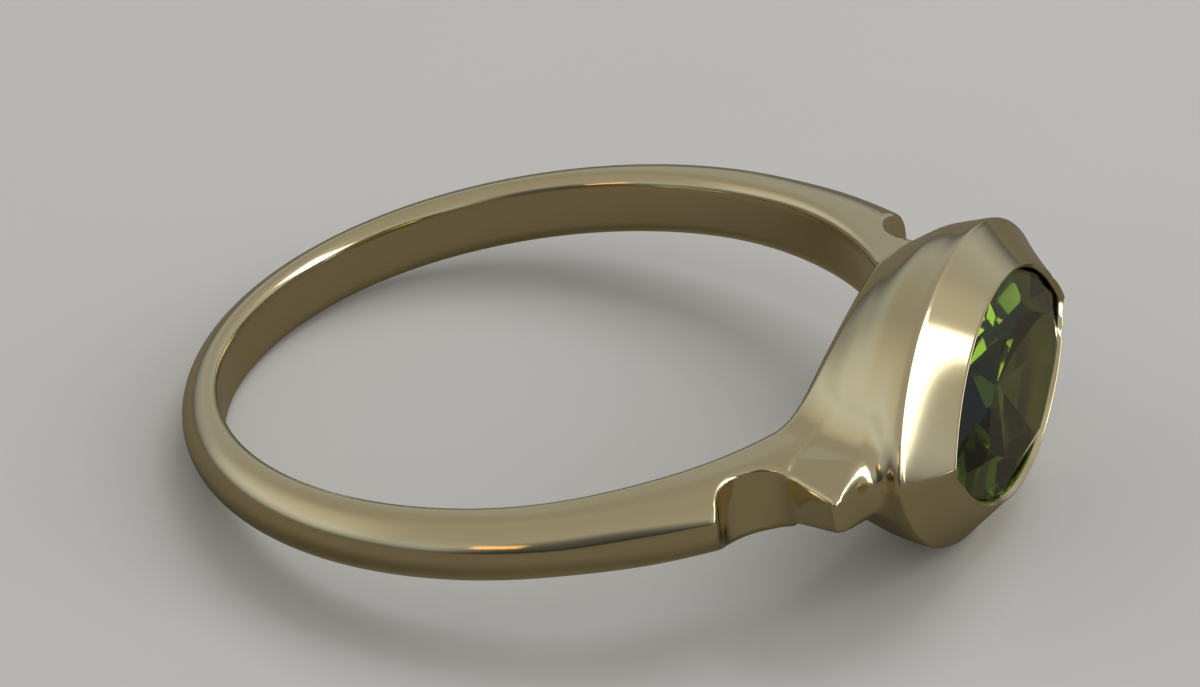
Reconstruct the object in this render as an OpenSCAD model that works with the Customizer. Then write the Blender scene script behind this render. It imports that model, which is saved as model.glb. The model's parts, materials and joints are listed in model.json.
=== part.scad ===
// Ring with a navette peridot set across the finger in a domed bezel, lying on its side.
// The ring's own frame has X through the middle of the bezel, Z along the finger, and its
// origin at the middle of the finger hole. The last step tips it onto the surface it lies on.

/* [Finger hole] */
// Inside radius of the band
hole_r = 8.5; // [8.2:0.05:8.8]

/* [Band] */
// Width of the band along the finger
band_w = 1.74; // [1.5:0.05:2]
// Thickness of the band at its back
back_t = 1.0; // [0.9:0.05:1.2]
// Rounding of the two edges along the finger hole
edge_round = 0.2; // [0.1:0.05:0.3]
// How far the outer circle of the band is set towards the bezel
band_off = 0.4; // [0.2:0.05:0.5]

/* [Shoulders] */
// How far the outer circle of the thicker shoulders is set towards the bezel
shoulder_off = 2.3; // [2.1:0.05:2.5]
// Radius of that circle
shoulder_r = 9.1; // [9.0:0.02:9.2]
// Radius of the round scallop filed across each shoulder
scallop_r = 1.12; // [1.05:0.01:1.2]
// Distance of the cusp's tip from the middle of the finger hole, along the bezel's axis
cusp_x = 9.86; // [9.75:0.01:9.95]
// Distance of the cusp's tip to the side
cusp_y = 6.85; // [6.75:0.05:7]
// Height of the cusp at its tip
cusp_h = 0.9; // [0.6:0.05:1.2]

/* [Bezel] */
// Distance of the bezel's upper edge from the middle of the finger hole
crest_x = 12.2; // [12.1:0.02:12.3]
// Length of the opening that shows the stone
window_l = 8.78; // [8.6:0.02:8.9]
// Width of the opening that shows the stone
window_w = 5.3; // [5.1:0.05:5.4]
// How far the stone sits off the middle of the shoulders
window_y = 0.27; // [0:0.03:0.36]
// Length of the bezel at its widest
ridge_l = 11.4; // [11.2:0.1:11.8]
// Width of the bezel at its widest
ridge_w = 7.4; // [7.2:0.1:7.6]

/* [Stone] */
// Length of the stone
stone_l = 9.08; // [9:0.02:9.2]
// Width of the stone
stone_w = 5.56; // [5.5:0.02:5.6]
// Height of the stone above its girdle
crown_h = 0.62; // [0.5:0.02:0.7]
// Depth of the stone below its girdle
pavilion_h = 2.2; // [2:0.05:2.4]
// Size of the stone's flat top as a share of its outline
table_share = 0.6; // [0.54:0.02:0.66]

/* [Hidden] */
$fn = 96;

tube_r = band_w / 2;
outer_r = hole_r + back_t + band_off;
bore_h = 12;

// A navette outline is two arcs that meet in points, given by its length l and width w
function arc_r(l, w) = (l * l + w * w) / (4 * w);
function arc_off(l, w) = arc_r(l, w) - w / 2;

// Distance from a navette's middle to the line that touches it square to the angle a
function support(l, w, a) =
    let (c = abs(cos(a)), s = abs(sin(a)))
    s < l / 2 / arc_r(l, w) ? arc_r(l, w) - arc_off(l, w) * c : l / 2 * s;

// Height of a navette outline q times as long as wide, at a share s of its half length
function lens(q, s) =
    let (r = (q * q + 1) / 2)
    sqrt(r * r - q * q * s * s) - (r - 1);

// Distance of the bezel's widest section from the middle of the finger hole
ridge_x = 11.1;

// Bezel sections: x, middle y, half length, half height, and how pointed the ends are
SECTIONS = [
    [6.9, 0.2, 4.1, 1.7, 0.5],
    [7.7, 0.25, 4.4, 2.2, 0.45],
    [8.5, 0.3, 4.65, 2.68, 0.4],
    [9.3, 0.3, 4.95, 3.16, 0.3],
    [10.1, 0.3, 5.3, 3.54, 0.2],
    [10.7, 0.28, 5.6, 3.63, 0.1],
    [ridge_x, 0.28, ridge_l / 2, ridge_w / 2, 0.1],
    [ridge_x + 0.25, 0.3, 5.6, 3.56, 0.3],
    [ridge_x + 0.6, 0.38, 5.22, 3.26, 0.65],
    [crest_x - 0.12, window_y, window_l / 2 + 0.22, window_w / 2 + 0.2, 0.95],
    [crest_x, window_y, window_l / 2 + 0.08, window_w / 2 + 0.07, 1],
];

// Number of points round each section
SIDES = 72;

function section_point(s, i) =
    let (t = 360 * i / SIDES, k = s[4], q = s[2] / s[3])
    let (h = (1 - k) * abs(cos(t)) + k * lens(q, abs(sin(t))))
    [s[0], s[1] + s[2] * sin(t), s[3] * h * sign(cos(t))];

// Closed skin over sections with the same number of points
module loft(sections) {
    rows = len(sections);
    points = [for (s = sections) for (i = [0:SIDES - 1]) section_point(s, i)];
    sides = [for (r = [0:rows - 2]) for (i = [0:SIDES - 1])
        let (j = (i + 1) % SIDES, a = r * SIDES, b = a + SIDES)
        [a + i, a + j, b + j, b + i]];
    start = [[for (i = [SIDES - 1:-1:0]) i]];
    end = [[for (i = [0:SIDES - 1]) (rows - 1) * SIDES + i]];
    polyhedron(points, concat(start, sides, end), convexity = 6);
}

// Half round profile of the band, out to the distance r from its axis
module band_profile(r) {
    intersection() {
        union() {
            translate([r - tube_r, 0]) circle(tube_r);
            translate([0, -tube_r]) square([r - tube_r, band_w]);
        }
        translate([0, -tube_r]) square([r, band_w]);
    }
}

// The band as turned, with its outer circle set towards the bezel
module band_blank() {
    translate([band_off, 0, 0]) rotate_extrude() band_profile(outer_r);
}

// Rounds the band's edges along the finger hole
module edge_rounding(side) {
    mirror([0, 0, side < 0 ? 1 : 0]) rotate_extrude() difference() {
        translate([hole_r - edge_round, tube_r - edge_round]) square(2 * edge_round);
        translate([hole_r + edge_round, tube_r - edge_round]) circle(edge_round);
    }
}

// Flatter and thicker stretch of the band, from its sides to the bezel
module shoulders() {
    face_r = 3;
    start_x = 2;
    end_x = 8.4;
    side_y = 10;
    intersection() {
        translate([shoulder_off, 0, 0]) rotate_extrude() intersection() {
            translate([0, -tube_r]) square([shoulder_r, band_w]);
            translate([shoulder_r - face_r, 0]) circle(face_r);
        }
        translate([start_x, -side_y, -band_w]) cube([end_x - start_x, 2 * side_y, 2 * band_w]);
    }
}

// Prism with a navette outline round X, between the distances x0 and x1
module navette_prism(l, w, x0, x1) {
    r = arc_r(l, w);
    translate([x0, 0, 0]) rotate([0, 90, 0]) intersection() {
        translate([arc_off(l, w), 0, 0]) cylinder(r = r, h = x1 - x0);
        translate([-arc_off(l, w), 0, 0]) cylinder(r = r, h = x1 - x0);
    }
}

// Outline of a cusp seen along the finger: x, distance to the side
CUSP = [
    [7.9, 3.5],
    [8.2, 6],
    [cusp_x, cusp_y],
    [cusp_x + 0.12, 6.6],
    [cusp_x + 0.84, 5.5],
    [cusp_x + 1.04, 4.2],
];

// Half of its outline seen along X: distance to the side, height. It gets lower at its tip.
CUSP_HEIGHT = [
    [3, tube_r],
    [6.05, tube_r],
    [cusp_y, cusp_h / 2],
];

// Thin point between the scallop and the bezel, which runs out on the bezel's flank
module cusp(side) {
    upper = [for (p = CUSP_HEIGHT) [side * p[0], p[1]]];
    lower = [for (i = [len(CUSP_HEIGHT) - 1:-1:0]) [side * CUSP_HEIGHT[i][0], -CUSP_HEIGHT[i][1]]];
    intersection() {
        translate([0, 0, -band_w]) linear_extrude(2 * band_w)
            polygon([for (p = CUSP) [p[0], side * p[1]]]);
        rotate([90, 0, 90]) linear_extrude(crest_x) polygon(concat(upper, lower));
    }
}

// Middle of each scallop: side, x, distance to the side. The filing is deeper on one side.
SCALLOPS = [
    [-1, 8.12, 7.09],
    [1, 7.92, 6.95],
];

// The round scallop, opened outwards along the slope that rises to the cusp
module scallop(place) {
    slope = 30;
    outwards = 3;
    lean = 0.6;
    inside = scallop_r - 0.003;
    side = place[0];
    x = place[1];
    y = place[2];
    touch = [x + inside * sin(slope), y - inside * cos(slope)];
    far = touch + outwards * [cos(slope), sin(slope)];
    translate([0, 0, -band_w]) linear_extrude(2 * band_w) {
        translate([x, side * y]) circle(scallop_r);
        polygon([[x, side * y], [touch[0], side * touch[1]], [far[0], side * far[1]],
                 [x - lean, side * (y + outwards)], [x - scallop_r, side * y]]);
    }
}

// The stone is drawn with its girdle, a thin wall, at the origin and its table towards X
girdle_x = 11.82;
girdle_h = 0.12;
table_h = girdle_h / 2 + crown_h;
culet_cut = 0.04;
culet_h = girdle_h / 2 + pavilion_h - culet_cut;

// Angles round X that the main facets face, and how steep the small ones are beside them
MAINS = [0, 33, 90, 147, 180, 213, 270, 327];
STAR_STEEP = 0.55;
UPPER_STEEP = 1.3;
LOWER_STEEP = 1.12;

// Block that lies behind a plane, which faces the angle a round X and leans by lean from X
module behind(a, lean, d) {
    size = 24;
    rotate([-a, 0, 0]) rotate([0, -lean, 0])
        translate([d - size, -size / 2, -size / 2]) cube(size);
}

// Facet through the girdle's edge; steep scales its slope; up is 1 on the crown and -1 below
module girdle_facet(a, steep, up) {
    h = support(stone_l, stone_w, a);
    depth = up > 0 ? crown_h / (1 - table_share) : pavilion_h;
    lean = atan(depth / h * steep);
    behind(a, up > 0 ? lean : 180 - lean, girdle_h / 2 * cos(lean) + h * sin(lean));
}

// Small facet at the table's edge, where it leaves the table just outside its outline
module star_facet(a) {
    outline = 1.02;
    h = support(stone_l, stone_w, a);
    lean = atan(crown_h / (1 - table_share) / h * STAR_STEEP);
    behind(a, lean, table_h * cos(lean) + h * table_share * outline * sin(lean));
}

// Cut as one solid: the outline, the flat table and culet, and all the facets between
module stone() {
    intersection() {
        navette_prism(stone_l, stone_w, -culet_h, table_h);
        intersection_for(i = [0:len(MAINS) - 1]) {
            a = MAINS[i];
            step = (i < len(MAINS) - 1 ? MAINS[i + 1] : 360) - a;
            intersection() {
                girdle_facet(a, 1, 1);
                girdle_facet(a, 1, -1);
                star_facet(a + step / 2);
                girdle_facet(a + step / 4, UPPER_STEEP, 1);
                girdle_facet(a + step * 3 / 4, UPPER_STEEP, 1);
                girdle_facet(a + step / 4, LOWER_STEEP, -1);
                girdle_facet(a + step * 3 / 4, LOWER_STEEP, -1);
            }
        }
    }
}

// Room for the stone: its seat, the opening above it and the open back below it
module seat() {
    gap = 0.03;
    depth = 0.4;
    under_lip = 0.2;
    shelf = -girdle_h / 2 - depth;
    share = 1 - depth / pavilion_h;
    back_l = stone_l * share + 0.4;
    back_w = stone_w * share + 0.35;
    navette_prism(stone_l + 2 * gap, stone_w + 2 * gap, shelf, under_lip);
    navette_prism(window_l, window_w, 0, crest_x);
    navette_prism(back_l, back_w, hole_r - 1 - girdle_x, 0);
}

// The whole metal, in the ring's own frame
module mount() {
    difference() {
        union() {
            difference() {
                union() {
                    band_blank();
                    shoulders();
                    for (side = [-1, 1]) cusp(side);
                }
                for (place = SCALLOPS) scallop(place);
                for (side = [-1, 1]) edge_rounding(side);
            }
            loft(SECTIONS);
        }
        translate([0, 0, -bore_h / 2]) cylinder(r = hole_r, h = bore_h);
        translate([girdle_x, window_y, 0]) seat();
    }
}

// The ring lies on the back of its band and on the lower side of its bezel
back_x = outer_r - tube_r - band_off;
reach = back_x + ridge_x;
half = ridge_w / 2;
tilt = acos(tube_r / sqrt(reach * reach + half * half)) - atan2(reach, half);
lift = back_x * sin(tilt) + tube_r;

// Ends of the laid ring along X: the back of the band and the lower edge of the stone's table
back_end = -back_x * cos(tilt) - tube_r;
table_end = (girdle_x + table_h) * cos(tilt) + table_share * stone_w / 2 * sin(tilt);
middle = (back_end + table_end) / 2;

module laid_down() {
    translate([-middle, 0, lift]) rotate([0, -tilt, 0]) children();
}

module gold_mount() {
    color("#c9b98f") laid_down() mount();
}

module peridot_stone() {
    color("#7f9a2b") laid_down() translate([girdle_x, window_y, 0]) stone();
}

gold_mount();
peridot_stone();
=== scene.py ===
"""Looks of the peridot ring: gold with soft edges, a clear stone, a pale floor and soft studio light."""

import json
import math

import bpy
import numpy as np
from mathutils import Matrix, Quaternion, Vector


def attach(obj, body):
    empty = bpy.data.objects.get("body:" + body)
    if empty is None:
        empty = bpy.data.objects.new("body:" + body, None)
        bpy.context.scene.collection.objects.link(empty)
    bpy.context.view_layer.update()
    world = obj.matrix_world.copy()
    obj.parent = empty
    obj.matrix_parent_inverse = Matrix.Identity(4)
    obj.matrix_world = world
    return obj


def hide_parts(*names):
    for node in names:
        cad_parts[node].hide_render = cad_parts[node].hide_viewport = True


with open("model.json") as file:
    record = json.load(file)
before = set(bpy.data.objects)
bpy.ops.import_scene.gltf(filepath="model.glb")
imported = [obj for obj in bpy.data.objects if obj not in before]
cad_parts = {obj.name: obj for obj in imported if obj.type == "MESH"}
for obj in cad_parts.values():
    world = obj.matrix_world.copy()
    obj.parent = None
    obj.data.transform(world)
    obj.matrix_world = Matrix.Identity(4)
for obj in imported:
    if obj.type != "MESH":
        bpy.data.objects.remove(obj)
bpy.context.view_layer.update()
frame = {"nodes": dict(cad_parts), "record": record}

# The finger hole's place and direction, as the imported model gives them
HOLE = frame["record"]["mounts"][0]

# Sizes of the ring are in millimetres, in its own frame: X through the bezel, Z along the finger.
# An EDGE is the length over which an edge is rounded, and a BLEND that over which a crease is filled.
HOLE_R = 8.5
HOLE_EDGE = 0.4

# The band: radius of its half round section, its outer radius, and how far its middle lies along X
TUBE_R = 0.87
OUTER_R = 9.9
BAND_OFF = 0.4

# The shoulders: how far their middle lies along X, their outer radius, the depth and fullness of their
# domed outer side, and where they end along X
SHOULDER_OFF = 2.3
SHOULDER_R = 9.1
SHOULDER_DOME = 1.4
DOME_FULLNESS = 2.6
SHOULDER_END = 8.4
# Their half height grows between two places along X, so that they come out of the band
SHOULDER_X = (0.5, 5.5)
SHOULDER_HEIGHTS = (0.57, TUBE_R)
SHOULDER_BLEND = 0.35

# The scallops: the middle of each by its side of the ring, and the slope that rises from it to the cusp
SCALLOP_R = 1.12
SCALLOPS = {-1: (8.12, 7.09), 1: (7.92, 6.95)}
SCALLOP_SLOPE = math.radians(30)
SCALLOP_OUTWARDS = 3
SCALLOP_LEAN = 0.6
SCALLOP_EDGE = 0.14

# The cusps: their outline seen along the finger, as x and the distance to the side
CUSP = [(7.9, 3.5), (8.2, 6.0), (9.86, 6.85), (9.98, 6.6), (10.95, 5.3), (11.0, 4.2)]
# Their half heights at two distances to the side, and the rounding of their edges at two places along X
CUSP_TAPER = [(5.4, 0.86), (6.85, 0.42)]
CUSP_X = (9.9, 10.4)
CUSP_EDGES = (0.16, 0.46)
CUSP_BLEND = 0.12

# The stone's room: how far its middle lies to the side, and the window's length and width
WINDOW_Y = 0.27
WINDOW_SIZE = (8.78, 5.3)
# The seat's length and width, and where it begins and ends along X
SEAT_SIZE = (9.14, 5.62)
SEAT_X = (11.36, 12.02)
# The open back's length and width, and where it begins along X; it narrows towards the finger hole
BACK_SIZE = (7.83, 4.9)
BACK_FROM = 5
BACK_X = (7.6, 9.2)
BACK_WIDTHS = (3.4, BACK_SIZE[1])
BACK_EDGE = 0.1
# How far outside the seat and the open back the gold still gets the unpolished finish and the painted shade
SEAT_REACH = 0.06
BACK_REACH = 0.03

# Bezel sections up to its widest line: x, middle y, half length, half height, and how pointed the ends are
RIDGE = (11.1, 0.28, 5.7, 3.7, 0.45)
FLANK = [
    (6.9, 0.2, 4.1, 1.7, 0.5),
    (7.7, 0.25, 4.4, 2.2, 0.45),
    (8.5, 0.3, 4.65, 2.68, 0.4),
    (9.3, 0.3, 4.95, 3.16, 0.3),
    (10.1, 0.3, 5.3, 3.54, 0.35),
    (10.7, 0.28, 5.6, 3.63, 0.35),
    (10.98, 0.28, 5.68, 3.685, 0.38),
    RIDGE,
]
# Rounding of the sections' two ends, as a share of their half height
TIP_ROUNDING = 0.03
# Steps in the table that finds a section from its x
SECTION_STEPS = 800

# The bevel from there to the rim: its run along X, and its slopes in degrees at both ends of its arcs
BEVEL_RUN = 1.05
BEVEL_SLOPES_L = (45, 50.2)
BEVEL_SLOPES_H = (39, 43.4)
BEVEL_SECTIONS = 12
# The rounded rim of the window: x, and how far outside the window it lies at the ends and the sides
RIM = [
    (12.166, 0.16, 0.132),
    (12.182, 0.15, 0.126),
    (12.192, 0.137, 0.116),
    (12.196, 0.122, 0.104),
    (12.191, 0.106, 0.092),
    (12.178, 0.09, 0.08),
    (12.13, 0.045, 0.042),
    (12.085, 0.006, 0.006),
    (12.07, 0.0, 0.0),
]
# Nicks in the rim: y, side along Z, half width and depth, which is reached between two places along X
NICKS = [(4.62, -1, 0.16, 0.05), (4.3, -1, 0.1, 0.04), (4.2, 1, 0.14, 0.04), (-4.05, -1, 0.14, 0.05)]
NICK_X = (12.05, 12.17)

# The fillet between the bezel and the rest: its two sizes, and the heights and the x between which it grows
FILLETS = (0.25, 0.7)
FILLET_Z = (0.3, 0.8)
FILLET_X = (9.9, 10.3)

# The bezel's top is made row by row from this x on, and the rest of the gold ends a little inside it
TOP_FROM = 10.85
TOP_LAP = 0.2
TOP_SINK = 0.03
# How far below TOP_FROM the cusps begin to fade into the bezel
CUSP_FADE = 0.9
# Rows of the top up to its widest line, round that line, and from there to the rim
TOP_ROWS = (10, 12, 34)
# Points round each row, and a power above 1 that draws them together towards the ends
TOP_COLUMNS = 320
CROWDING = 1.5
# Places along X of rows between the edges of the window, the seat and the open back
WINDOW_ROWS = (12.055, 12.04)
SEAT_ROW = 11.7
BACK_ROW = 11.1
# Rows this close to an edge keep it crisp
CRISP = 0.01

CELL = 0.1
BOX_LOW = (-9.8, -10.2, -4)
BOX_HIGH = (TOP_FROM + TOP_LAP + 0.3, 10.2, 4)

# Tones and roughness of the polished gold, and those of its inside, which is unpolished and darkened with
# painted shade
GOLD_TONES = ((0.76, 0.665, 0.415), (0.82, 0.73, 0.475))
GOLD_ROUGHNESS = (0.06, 0.16)
INSIDE_PAINTED_SHADE_TONE = (0.26, 0.21, 0.12)
INSIDE_ROUGHNESS = 0.4

# The stone: its own tint, and the colour and density that darken the light on its way
PERIDOT_TINT = (0.8, 0.92, 0.5)
PERIDOT_IOR = 1.67
PERIDOT_ROUGHNESS = (0.0, 0.06)
PERIDOT_DEPTH = (0.49, 0.59, 0.1)
PERIDOT_DENSITY = 620

# The floor: half its size in metres, and its tones as the camera sees it and as the ring mirrors it
FLOOR_HALF = 0.8
FLOOR_SEEN = ((0.76, 0.765, 0.775), (0.82, 0.825, 0.835))
FLOOR_MIRRORED = ((0.24, 0.218, 0.17), (0.31, 0.282, 0.224))

# The surroundings' brightness by height, as the sine of the elevation, and their tints low and high
SKY = [(0.0, 0.1), (0.05, 0.17), (0.14, 0.33), (0.3, 0.45), (0.6, 0.38), (1.0, 0.35)]
SKY_LOW = (0.97, 1.0, 1.02)
SKY_HIGH = (1.01, 0.96, 0.87)
HIGH_FROM = 0.5
# Soft patches in them: azimuth, elevation, half width in degrees, and how many times as bright
PATCHES = [(12, 2, 38, 0.2), (-82, 18, 40, 1.4), (-142, 26, 50, 0.86), (122, 40, 24, 1.35)]
# The share of a patch that has its full strength
PATCH_CORE = 0.35

# The photograph's camera: a long lens, with the middle of the finger hole off the picture's middle
PHOTO_W, PHOTO_H = 1200, 687
HOLE_PX = (553.6, 366.4)
FOCAL_PX = 12000
CAMERA_DISTANCE = 0.3047
CAMERA_AZIMUTH = 19.3
CAMERA_ELEVATION = 30.9
SENSOR_WIDTH = 36

# How far the area lights stand from the ring, in metres
LIGHT_DISTANCE = 0.5


def ring_frame():
    """The matrix from millimetres in the ring's own frame to metres in the row's frame."""
    along = Vector(HOLE["axis"]).normalized()
    side = Vector((0, 1, 0))
    out = side.cross(along)
    turn = Matrix((out, side, along)).transposed().to_4x4()
    return Matrix.Translation(Vector(HOLE["pos_m"])) @ turn @ Matrix.Scale(0.001, 4)


def smooth_min(a, b, k):
    """The smaller of two distances, with the crease between them filled over about k."""
    h = np.clip(0.5 + 0.5 * (b - a) / k, 0, 1)
    return b + (a - b) * h - k * h * (1 - h)


def smooth_max(a, b, k):
    """The larger of two distances, with the edge between them rounded over about k."""
    return -smooth_min(-a, -b, k)


def smooth_step(a, b, x):
    """Rises from 0 at a to 1 at b."""
    t = np.clip((x - a) / (b - a), 0, 1)
    return t * t * (3 - 2 * t)


def between(x, places, values):
    """Runs smoothly from one value to the other between two places."""
    return values[0] + (values[1] - values[0]) * smooth_step(*places, x)


def polygon(x, y, corners):
    """Distance from the edges of a polygon, negative inside."""
    best = np.full(x.shape, np.inf)
    inside = np.zeros(x.shape, bool)
    for (ax, ay), (bx, by) in zip(corners, corners[1:] + corners[:1]):
        ex, ey = bx - ax, by - ay
        t = np.clip(((x - ax) * ex + (y - ay) * ey) / (ex * ex + ey * ey), 0, 1)
        best = np.minimum(best, np.hypot(x - ax - t * ex, y - ay - t * ey))
        if ey:
            inside ^= ((ay > y) != (by > y)) & (x < ex * (y - ay) / ey + ax)
    return np.where(inside, -best, best)


def navette(y, z, length, width):
    """Distance from the wall of a navette outline, negative inside."""
    r = (length * length + width * width) / (4 * width)
    return np.hypot(y, np.abs(z) + r - width / 2) - r


def gentle(before, after):
    """Slope at a point of a curve between the steps before and after it, without overshoot."""
    both = before * after
    total = before + after
    return np.where(both > 0, 2 * both / np.where(total == 0, 1, total), 0)


def spline(u, points):
    """Smooth curve through points, with u counting them from 0."""
    last = len(points) - 1
    i = np.clip(np.floor(u).astype(int), 0, last - 1)
    t = (u - i)[..., None]
    p = [points[np.clip(i + k, 0, last)] for k in (-1, 0, 1, 2)]
    start, end = gentle(p[1] - p[0], p[2] - p[1]), gentle(p[2] - p[1], p[3] - p[2])
    return (
        p[1] * (2 * t**3 - 3 * t**2 + 1)
        + start * (t**3 - 2 * t**2 + t)
        + p[2] * (3 * t**2 - 2 * t**3)
        + end * (t**3 - t**2)
    )


def arc_drop(x, slopes):
    """How far a round arc over the bevel's run has dropped at x along it."""
    start, end = (math.radians(v) for v in slopes)
    radius = BEVEL_RUN / (math.sin(end) - math.sin(start))
    return radius * (math.cos(start) - math.sqrt(1 - (math.sin(start) + x / radius) ** 2))


def bevel_sections():
    """Sections of the bevel, from just after the widest line to the rim round the stone."""
    x0, y0, l0, h0, k0 = RIDGE
    rows = []
    for t in np.linspace(0, 1, BEVEL_SECTIONS)[1:]:
        x = BEVEL_RUN * t
        middle = y0 + (WINDOW_Y - y0) * t
        half_length = l0 - arc_drop(x, BEVEL_SLOPES_L)
        half_height = h0 - arc_drop(x, BEVEL_SLOPES_H)
        pointed = k0 + (1 - k0) * (1 - (1 - t) ** 2)
        rows.append((x0 + x, middle, half_length, half_height, pointed))
    return rows


SECTIONS = np.array(FLANK + bevel_sections())
ROWS_U = np.linspace(0, len(SECTIONS) - 1, SECTION_STEPS)
ROWS_X = spline(ROWS_U, SECTIONS)[:, 0]


def outline_gauge(y, z, ratio, pointed):
    """How far out a point lies, 1 on a bezel section's outline, given in half lengths and half heights."""
    z = np.hypot(z, TIP_ROUNDING)
    flat = (ratio * ratio - 1) / 2
    across = (ratio * y) ** 2 + z * z
    lens = (z * flat + np.sqrt(z * z * flat * flat + ratio * ratio * across)) / ratio**2
    oval = np.hypot(y, z)
    return 1 / ((1 - pointed) / np.maximum(oval, 1e-6) + pointed / np.maximum(lens, 1e-6))


def bezel_body(x, y, z):
    """Distance from the bezel's flank, up to its widest line."""
    s = spline(np.interp(x, ROWS_X, ROWS_U), SECTIONS)
    dy, dz = (y - s[..., 1]) / s[..., 2], z / s[..., 3]
    g = outline_gauge(dy, dz, s[..., 2] / s[..., 3], s[..., 4])
    slope = np.hypot(dy / s[..., 2], dz / s[..., 3]) / np.maximum(np.hypot(dy, dz), 1e-6)
    return np.maximum((g - 1) / np.maximum(slope, 1e-6), SECTIONS[0, 0] - x)


def band(x, y, z):
    """Distance from the half round band."""
    rho = np.hypot(x - BAND_OFF, y) - (OUTER_R - TUBE_R)
    return np.where(rho > 0, np.hypot(rho, z), np.abs(z)) - TUBE_R


def shoulders(x, y, z):
    """Distance from the flatter and thicker stretch beside the bezel, which grows out of the band."""
    half_height = between(x, SHOULDER_X, SHOULDER_HEIGHTS)
    rho = np.hypot(x - SHOULDER_OFF, y) - (SHOULDER_R - SHOULDER_DOME)
    n = DOME_FULLNESS
    around, up = np.abs(rho) / SHOULDER_DOME, np.abs(z) / half_height
    size = (around**n + up**n) ** (1 / n)
    slope = np.hypot(around ** (n - 1) / SHOULDER_DOME, up ** (n - 1) / half_height)
    dome = (size - 1) * np.maximum(size, 1e-6) ** (n - 1) / np.maximum(slope, 1e-6)
    block = np.where(rho > 0, dome, np.abs(z) - half_height)
    return np.maximum(block, x - SHOULDER_END)


def cusps(x, y, z):
    """Distance from the thin points between the scallops and the bezel."""
    (y0, h0), (y1, h1) = CUSP_TAPER
    run, drop = y1 - y0, h0 - h1
    taper = (np.abs(z) - h0) * run + (np.abs(y) - y0) * drop
    top = np.maximum(np.abs(z) - h0, taper / math.hypot(run, drop))
    return smooth_max(polygon(x, np.abs(y), CUSP), top, between(x, CUSP_X, CUSP_EDGES))


def scallops(x, y):
    """Distance from the round scallops and the slopes that rise from them to the cusps."""
    out = np.full(x.shape, np.inf)
    sine, cosine = math.sin(SCALLOP_SLOPE), math.cos(SCALLOP_SLOPE)
    for side, (cx, cy) in SCALLOPS.items():
        tx, ty = cx + SCALLOP_R * sine, cy - SCALLOP_R * cosine
        opening = [
            (cx, cy),
            (tx, ty),
            (tx + SCALLOP_OUTWARDS * cosine, ty + SCALLOP_OUTWARDS * sine),
            (cx - SCALLOP_LEAN, cy + SCALLOP_OUTWARDS),
            (cx - SCALLOP_R, cy),
        ]
        across = side * y
        circle = np.hypot(x - cx, across - cy) - SCALLOP_R
        out = np.minimum(out, np.minimum(circle, polygon(x, across, opening)))
    return out


def open_back(x, y, z):
    """Distance from the opening below the stone."""
    width = between(x, BACK_X, BACK_WIDTHS)
    return np.maximum(navette(y - WINDOW_Y, z, BACK_SIZE[0], width), BACK_FROM - x)


def gold(x, y, z):
    """Distance from all of the gold below the bezel's top."""
    shank = smooth_min(band(x, y, z), shoulders(x, y, z), SHOULDER_BLEND)
    shank = smooth_min(shank, cusps(x, y, z), CUSP_BLEND)
    shank = smooth_max(shank, -scallops(x, y), SCALLOP_EDGE)
    wide = np.maximum(smooth_step(*FILLET_Z, np.abs(z)), smooth_step(*FILLET_X, x))
    fillet = FILLETS[0] + (FILLETS[1] - FILLETS[0]) * wide
    bezel = bezel_body(x, y, z)
    body = smooth_min(shank, bezel, fillet)
    body = body + (bezel - body) * smooth_step(TOP_FROM - CUSP_FADE, TOP_FROM, x)
    body = smooth_max(body, HOLE_R - np.hypot(x, y), HOLE_EDGE)
    body = smooth_max(body, -open_back(x, y, z), BACK_EDGE)
    sunk = body + TOP_SINK * smooth_step(TOP_FROM, TOP_FROM + TOP_LAP, x)
    return np.maximum(sunk, x - TOP_FROM - TOP_LAP)


def slope_of(field, p, step=0.01):
    """The gradient of a field at points, by differences."""
    parts = []
    for axis in range(3):
        d = np.zeros(3)
        d[axis] = step
        parts.append((field(*(p + d).T) - field(*(p - d).T)) / (2 * step))
    return np.stack(parts, 1)


def onto_surface(field, points, longest, rounds=4, flattest=0.05):
    """Moves points onto the surface where a field is 0, by steps no longer than the longest."""
    for _ in range(rounds):
        slope = slope_of(field, points)
        length = np.maximum((slope**2).sum(1), flattest)
        step = (field(*points.T) / length)[:, None] * slope
        reach = np.linalg.norm(step, axis=1, keepdims=True)
        points -= step * np.minimum(1, longest / np.maximum(reach, 1e-9))


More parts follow.
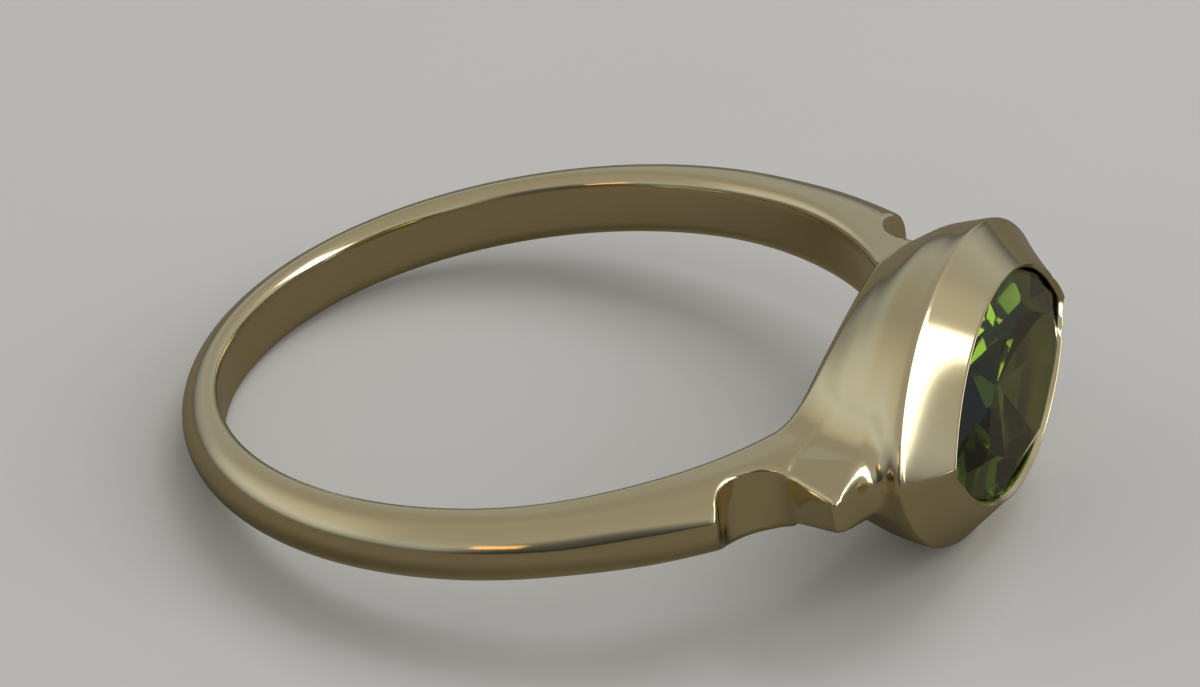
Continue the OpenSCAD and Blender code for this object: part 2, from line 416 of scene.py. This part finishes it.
def surface_net(field, low, high, cell):
    """Points, outward normals and quads of the surface where a field is 0."""
    axes = [np.arange(a, b + cell, cell) for a, b in zip(low, high)]
    grid = np.stack(np.meshgrid(*axes, indexing="ij"), -1)
    value = field(grid[..., 0], grid[..., 1], grid[..., 2])
    shape = np.array(value.shape)
    total = np.zeros((*shape, 3))
    count = np.zeros(shape)
    crossings = []
    # Each grid edge that the surface crosses adds the crossing to the four cells around it
    for axis in range(3):
        a = np.moveaxis(value, axis, 0)
        hit = (a[:-1] < 0) != (a[1:] < 0)
        node = np.argwhere(np.moveaxis(hit, 0, axis))
        ahead = node.copy()
        ahead[:, axis] += 1
        v0, v1 = value[tuple(node.T)], value[tuple(ahead.T)]
        p = grid[tuple(node.T)]
        p[:, axis] += cell * v0 / (v0 - v1)
        b, c = (axis + 1) % 3, (axis + 2) % 3
        around = []
        for db, dc in ((0, 0), (-1, 0), (-1, -1), (0, -1)):
            cell_at = node.copy()
            cell_at[:, b] += db
            cell_at[:, c] += dc
            np.add.at(total, tuple(cell_at.T), p)
            np.add.at(count, tuple(cell_at.T), 1)
            around.append(cell_at)
        crossings.append((np.stack(around, 1), v0 < 0))
    # Each cell's point is the middle of its crossings, and each crossed edge joins four of them in a quad
    used = count > 0
    number = np.full(shape, -1)
    number[used] = np.arange(used.sum())
    points = total[used] / count[used][:, None]
    quads = []
    for around, rising in crossings:
        q = number[tuple(np.moveaxis(around, -1, 0))]
        quads += [q[rising], q[~rising][:, ::-1]]
    onto_surface(field, points, cell / 2)
    slope = slope_of(field, points)
    normals = slope / np.maximum(np.linalg.norm(slope, axis=1, keepdims=True), 1e-9)
    return points, normals, np.concatenate(quads)


def wall_rows(places, size):
    """Rows of an upright navette wall at places along X."""
    return [(x, WINDOW_Y, size[0] / 2, size[1] / 2, 1.0) for x in places]


def top_rows():
    """Sections of the bezel's top: up the flank, over bevel and rim, and down the window and the seat."""
    ridge = len(FLANK) - 1
    below, round_it, above = TOP_ROWS
    u = np.concatenate([
        np.linspace(np.interp(TOP_FROM, ROWS_X, ROWS_U), ridge - 1, below)[:-1],
        np.linspace(ridge - 1, ridge + 1, round_it)[:-1],
        np.linspace(ridge + 1, len(SECTIONS) - 1, above),
    ])
    length, width = WINDOW_SIZE
    rim = [(x, WINDOW_Y, length / 2 + dl, width / 2 + dw, 1.0) for x, dl, dw in RIM]
    shelf, ceiling = SEAT_X
    window = wall_rows((*WINDOW_ROWS, ceiling + CRISP, ceiling), WINDOW_SIZE)
    seat = wall_rows((ceiling, ceiling - CRISP, SEAT_ROW, shelf + CRISP, shelf), SEAT_SIZE)
    back = wall_rows((shelf, shelf - CRISP, BACK_ROW, TOP_FROM), BACK_SIZE)
    return np.concatenate([spline(u, SECTIONS), rim, window, seat, back])


def column_angles():
    """Angles of the points round a row, which crowd towards its two ends."""
    quarter = np.linspace(0, 1, TOP_COLUMNS // 4, endpoint=False)
    quarter = math.pi / 2 * (1 - (1 - quarter) ** CROWDING)
    half = np.sort(np.concatenate([quarter, math.pi - quarter[:0:-1], [math.pi / 2]]))
    return np.concatenate([half, half + math.pi])


def bezel_top():
    """Points, outward normals and quads of the closed top of the bezel."""
    s = top_rows()[:, None, :]
    angle = column_angles()[None]
    sine, cosine = np.sin(angle), np.cos(angle)
    reach = 1 / outline_gauge(sine, cosine, s[..., 2] / s[..., 3], s[..., 4])
    p = np.stack([
        np.broadcast_to(s[..., 0], reach.shape),
        s[..., 1] + s[..., 2] * reach * sine,
        s[..., 3] * reach * cosine,
    ], -1)
    for y, side, half_width, depth in NICKS:
        near = np.exp(-(((p[..., 1] - y) / half_width) ** 2)) * (p[..., 2] * side > 0)
        p[..., 0] -= depth * near * smooth_step(*NICK_X, p[..., 0])
    n_rows, n_cols = p.shape[:2]
    index = np.arange(n_rows * n_cols).reshape(n_rows, n_cols)
    right, up = np.roll(index, -1, 1), np.roll(index, -1, 0)
    quads = np.stack([index, up, np.roll(right, -1, 0), right], -1).reshape(-1, 4)
    around = np.roll(p, -1, 1) - np.roll(p, 1, 1)
    along = np.roll(p, -1, 0) - np.roll(p, 1, 0)
    along[0] = p[1] - p[0]
    normals = np.cross(along, around)
    normals /= np.maximum(np.linalg.norm(normals, axis=2, keepdims=True), 1e-12)
    return p.reshape(-1, 3), normals.reshape(-1, 3), quads


def link_object(name, data):
    """A new object in the scene."""
    made = bpy.data.objects.new(name, data)
    bpy.context.scene.collection.objects.link(made)
    return made


def make_mesh(name, points, normals, quads):
    """A smooth mesh object from points, normals and quads in the ring's own frame."""
    place = np.array(ring_frame())
    mesh = bpy.data.meshes.new(name)
    world = points @ place[:3, :3].T + place[:3, 3]
    mesh.from_pydata(world.tolist(), [], quads.tolist())
    mesh.polygons.foreach_set("use_smooth", [True] * len(mesh.polygons))
    turned = normals @ place[:3, :3].T
    turned /= np.maximum(np.linalg.norm(turned, axis=1, keepdims=True), 1e-12)
    mesh.normals_split_custom_set_from_vertices(turned.tolist())
    return link_object(name, mesh)


def unpolished_and_shaded(x, y, z):
    """Whether points lie on the walls of the seat or of the open back, which are unpolished and darkened
    with painted shade.
    """
    shelf, ceiling = SEAT_X
    seat = (navette(y - WINDOW_Y, z, *SEAT_SIZE) < SEAT_REACH) & (x > shelf - SEAT_REACH) & (x < ceiling)
    return seat | (open_back(x, y, z) < BACK_REACH)


def make_gold():
    """All of the gold as one object."""
    body = surface_net(gold, BOX_LOW, BOX_HIGH, CELL)
    top = bezel_top()
    points, normals = (np.concatenate([a, b]) for a, b in zip(body[:2], top[:2]))
    quads = np.concatenate([body[2], top[2] + len(body[0])])
    made = make_mesh("gold_ring", points, normals, quads)
    unpolished_shaded_mask = unpolished_and_shaded(*points.T)
    # The walls of the seat and the open back are marked for an unpolished finish and a dark painted shade
    made.data.attributes.new("unpolished_and_shaded", "FLOAT", "POINT").data.foreach_set("value", unpolished_shaded_mask.astype(float))
    return made


def node_material(name):
    """A new material with its nodes and links."""
    made = bpy.data.materials.new(name)
    made.use_nodes = True
    return made, made.node_tree.nodes, made.node_tree.links


def cloud(nodes, links, scale, detail):
    """Soft noise over the object."""
    place = nodes.new("ShaderNodeTexCoord")
    noise = nodes.new("ShaderNodeTexNoise")
    noise.inputs["Scale"].default_value = scale
    noise.inputs["Detail"].default_value = detail
    links.new(place.outputs["Object"], noise.inputs["Vector"])
    return noise.outputs["Fac"]


def mixed_tone(nodes, links, factor, tones):
    """A colour that runs from the first tone to the second with a factor."""
    ramp = nodes.new("ShaderNodeValToRGB")
    for element, tone in zip(ramp.color_ramp.elements, tones):
        element.color = (*tone, 1)
    links.new(factor, ramp.inputs["Fac"])
    return ramp.outputs["Color"]


def mixed_value(nodes, links, factor, values):
    """A value that runs from the first to the second with a factor."""
    spread = nodes.new("ShaderNodeMapRange")
    spread.inputs["To Min"].default_value, spread.inputs["To Max"].default_value = values
    links.new(factor, spread.inputs["Value"])
    return spread.outputs["Result"]


def gold_material():
    """Polished yellow gold with faint wear; its inside is unpolished and darkened with painted shade."""
    made, nodes, links = node_material("polished_gold")
    shader = nodes["Principled BSDF"]
    shader.inputs["Metallic"].default_value = 1.0
    wear = cloud(nodes, links, scale=420, detail=3)
    inside = nodes.new("ShaderNodeAttribute")
    inside.attribute_name = "unpolished_and_shaded"
    color = nodes.new("ShaderNodeMix")
    color.data_type = "RGBA"
    links.new(inside.outputs["Fac"], color.inputs["Factor"])
    # A mix node has its two colours at inputs 6 and 7 and its colour at output 2
    links.new(mixed_tone(nodes, links, wear, GOLD_TONES), color.inputs[6])
    # Painted shade: the inside walls under the stone get a dark tone in place of the gold's own
    color.inputs[7].default_value = (*INSIDE_PAINTED_SHADE_TONE, 1)
    links.new(color.outputs[2], shader.inputs["Base Color"])
    # It has its two values at inputs 2 and 3 and its value at output 0
    finish = nodes.new("ShaderNodeMix")
    links.new(inside.outputs["Fac"], finish.inputs["Factor"])
    links.new(mixed_value(nodes, links, wear, GOLD_ROUGHNESS), finish.inputs[2])
    finish.inputs[3].default_value = INSIDE_ROUGHNESS
    links.new(finish.outputs[0], shader.inputs["Roughness"])
    return made


def stone_material():
    """Clear green peridot, which darkens the light on its way, with a faint unevenness in its polish."""
    made, nodes, links = node_material("peridot")
    shader = nodes["Principled BSDF"]
    shader.inputs["Base Color"].default_value = (*PERIDOT_TINT, 1)
    shader.inputs["IOR"].default_value = PERIDOT_IOR
    shader.inputs["Transmission Weight"].default_value = 1.0
    uneven = cloud(nodes, links, scale=900, detail=3)
    links.new(mixed_value(nodes, links, uneven, PERIDOT_ROUGHNESS), shader.inputs["Roughness"])
    depth = nodes.new("ShaderNodeVolumeAbsorption")
    depth.inputs["Color"].default_value = (*PERIDOT_DEPTH, 1)
    depth.inputs["Density"].default_value = PERIDOT_DENSITY
    links.new(depth.outputs["Volume"], nodes["Material Output"].inputs["Volume"])
    return made


def floor_material():
    """Plain pale floor with a faint mottle; the ring mirrors it in a deeper tone than the camera sees."""
    made, nodes, links = node_material("pale_floor")
    nodes.remove(nodes["Principled BSDF"])
    mottle = cloud(nodes, links, scale=60, detail=4)
    path = nodes.new("ShaderNodeLightPath")
    both = nodes.new("ShaderNodeMixShader")
    links.new(path.outputs["Is Camera Ray"], both.inputs["Fac"])
    # A mix shader has its two shaders at inputs 1 and 2
    for slot, tones in ((1, FLOOR_MIRRORED), (2, FLOOR_SEEN)):
        shader = nodes.new("ShaderNodeBsdfDiffuse")
        links.new(mixed_tone(nodes, links, mottle, tones), shader.inputs["Color"])
        links.new(shader.outputs["BSDF"], both.inputs[slot])
    links.new(both.outputs["Shader"], nodes["Material Output"].inputs["Surface"])
    return made


def make_floor():
    """A large plain floor under the ring."""
    mesh = bpy.data.meshes.new("floor")
    corners = [(x * FLOOR_HALF, y * FLOOR_HALF, 0) for x, y in ((-1, -1), (1, -1), (1, 1), (-1, 1))]
    mesh.from_pydata(corners, [], [(0, 1, 2, 3)])
    mesh.materials.append(floor_material())
    made = link_object("floor", mesh)


def direction(azimuth, elevation):
    """Unit vector from the ring towards an azimuth and elevation in degrees; azimuth 0 is the -Y side."""
    a, e = math.radians(azimuth), math.radians(elevation)
    return Vector((math.sin(a) * math.cos(e), -math.cos(a) * math.cos(e), math.sin(e)))


def make_camera():
    """The camera at the photograph's angle."""
    data = bpy.data.cameras.new("camera")
    data.sensor_width = SENSOR_WIDTH
    data.lens = FOCAL_PX / PHOTO_W * data.sensor_width
    data.clip_start, data.clip_end = 0.01, 10
    made = link_object("camera", data)
    back = direction(CAMERA_AZIMUTH, CAMERA_ELEVATION)
    turn = (-back).to_track_quat("-Z", "Y")
    right, up = turn @ Vector((1, 0, 0)), turn @ Vector((0, 1, 0))
    scale = CAMERA_DISTANCE / FOCAL_PX
    aside = (PHOTO_W / 2 - HOLE_PX[0]) * scale
    above = (HOLE_PX[1] - PHOTO_H / 2) * scale
    made.location = Vector(HOLE["pos_m"]) + back * CAMERA_DISTANCE + right * aside + up * above
    made.rotation_mode = "QUATERNION"
    made.rotation_quaternion = turn
    bpy.context.scene.camera = made


def area_light(name, azimuth, elevation, width, height, brightness, color=(1, 1, 1), roll=0,
               centre=Vector(), distance=LIGHT_DISTANCE, spread=180, mirrored=True):
    """A soft light that faces the centre, from an azimuth and elevation in degrees.

    Its width and height are the angles that it fills as seen from there, and its spread is its beam's angle.
    """
    size = [2 * distance * math.tan(math.radians(v / 2)) for v in (width, height)]
    data = bpy.data.lights.new(name, "AREA")
    data.shape = "RECTANGLE"
    data.size, data.size_y = size
    data.energy = brightness * math.pi * size[0] * size[1]
    data.color = color
    data.spread = math.radians(spread)
    made = link_object(name, data)
    made.visible_camera = False
    made.visible_glossy = made.visible_transmission = mirrored
    towards = direction(azimuth, elevation)
    rolled = Quaternion((0, 0, 1), math.radians(roll))
    made.location = centre + towards * distance
    made.rotation_mode = "QUATERNION"
    made.rotation_quaternion = (-towards).to_track_quat("-Z", "Y") @ rolled


def make_lights():
    """The lights, each with its azimuth, elevation, width and height in degrees, and its brightness."""
    # The bright strip on the bevel
    area_light("key", 97.9, 17.3, 60, 20, 2.1, roll=50.5)
    # Light for the floor and its shadows, which the ring doesn't mirror
    area_light("back", 170, 48, 34, 30, 2.2, mirrored=False)
    # A warm glint on the near side of the band
    area_light("warm", -7, 20, 14, 9, 1.2, (1.0, 0.51, 0.15))
    # A glow in the stone, from a small light close to the lower part of its front
    stone_front = ring_frame() @ Vector((12.4, 1.2, -1.77))
    area_light("glint", 88, -25, 22, 13, 0.25, centre=stone_front, distance=0.0038, spread=44)


def sky_patch(nodes, links, place, azimuth, elevation, half_width, times):
    """How many times as bright the surroundings are: 1 outside a soft round patch."""
    facing = nodes.new("ShaderNodeVectorMath")
    facing.operation = "DOT_PRODUCT"
    facing.inputs[1].default_value = direction(azimuth, elevation)
    links.new(place, facing.inputs[0])
    patch = nodes.new("ShaderNodeMapRange")
    patch.interpolation_type = "SMOOTHSTEP"
    patch.inputs["From Min"].default_value = math.cos(math.radians(half_width))
    patch.inputs["From Max"].default_value = math.cos(math.radians(half_width * PATCH_CORE))
    patch.inputs["To Min"].default_value = 1
    patch.inputs["To Max"].default_value = times
    links.new(facing.outputs["Value"], patch.inputs["Value"])
    return patch.outputs["Result"]


def make_world():
    """Soft surroundings, dark at the horizon and light above, with soft patches."""
    world = bpy.data.worlds.new("studio")
    bpy.context.scene.world = world
    world.use_nodes = True
    nodes, links = world.node_tree.nodes, world.node_tree.links
    place = nodes.new("ShaderNodeTexCoord").outputs["Generated"]
    height = nodes.new("ShaderNodeSeparateXYZ")
    links.new(place, height.inputs["Vector"])
    ramp = nodes.new("ShaderNodeValToRGB")
    elements = ramp.color_ramp.elements
    while len(elements) < len(SKY):
        elements.new(0.5)
    for element, (at, light) in zip(elements, SKY):
        element.position = at
        element.color = (*(light * v for v in (SKY_HIGH if at > HIGH_FROM else SKY_LOW)), 1)
    links.new(height.outputs["Z"], ramp.inputs["Fac"])
    links.new(ramp.outputs["Color"], nodes["Background"].inputs["Color"])
    strength, *others = [sky_patch(nodes, links, place, *row) for row in PATCHES]
    for other in others:
        both = nodes.new("ShaderNodeMath")
        both.operation = "MULTIPLY"
        links.new(strength, both.inputs[0])
        links.new(other, both.inputs[1])
        strength = both.outputs["Value"]
    links.new(strength, nodes["Background"].inputs["Strength"])


gold_ring = make_gold()
gold_ring.data.materials.append(gold_material())
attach(gold_ring, "root")
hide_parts("gold_mount")

stone = frame["nodes"]["peridot_stone"]
stone.data.materials.clear()
stone.data.materials.append(stone_material())

make_floor()
make_camera()
make_world()
make_lights()
bpy.context.scene.view_settings.view_transform = "Standard"
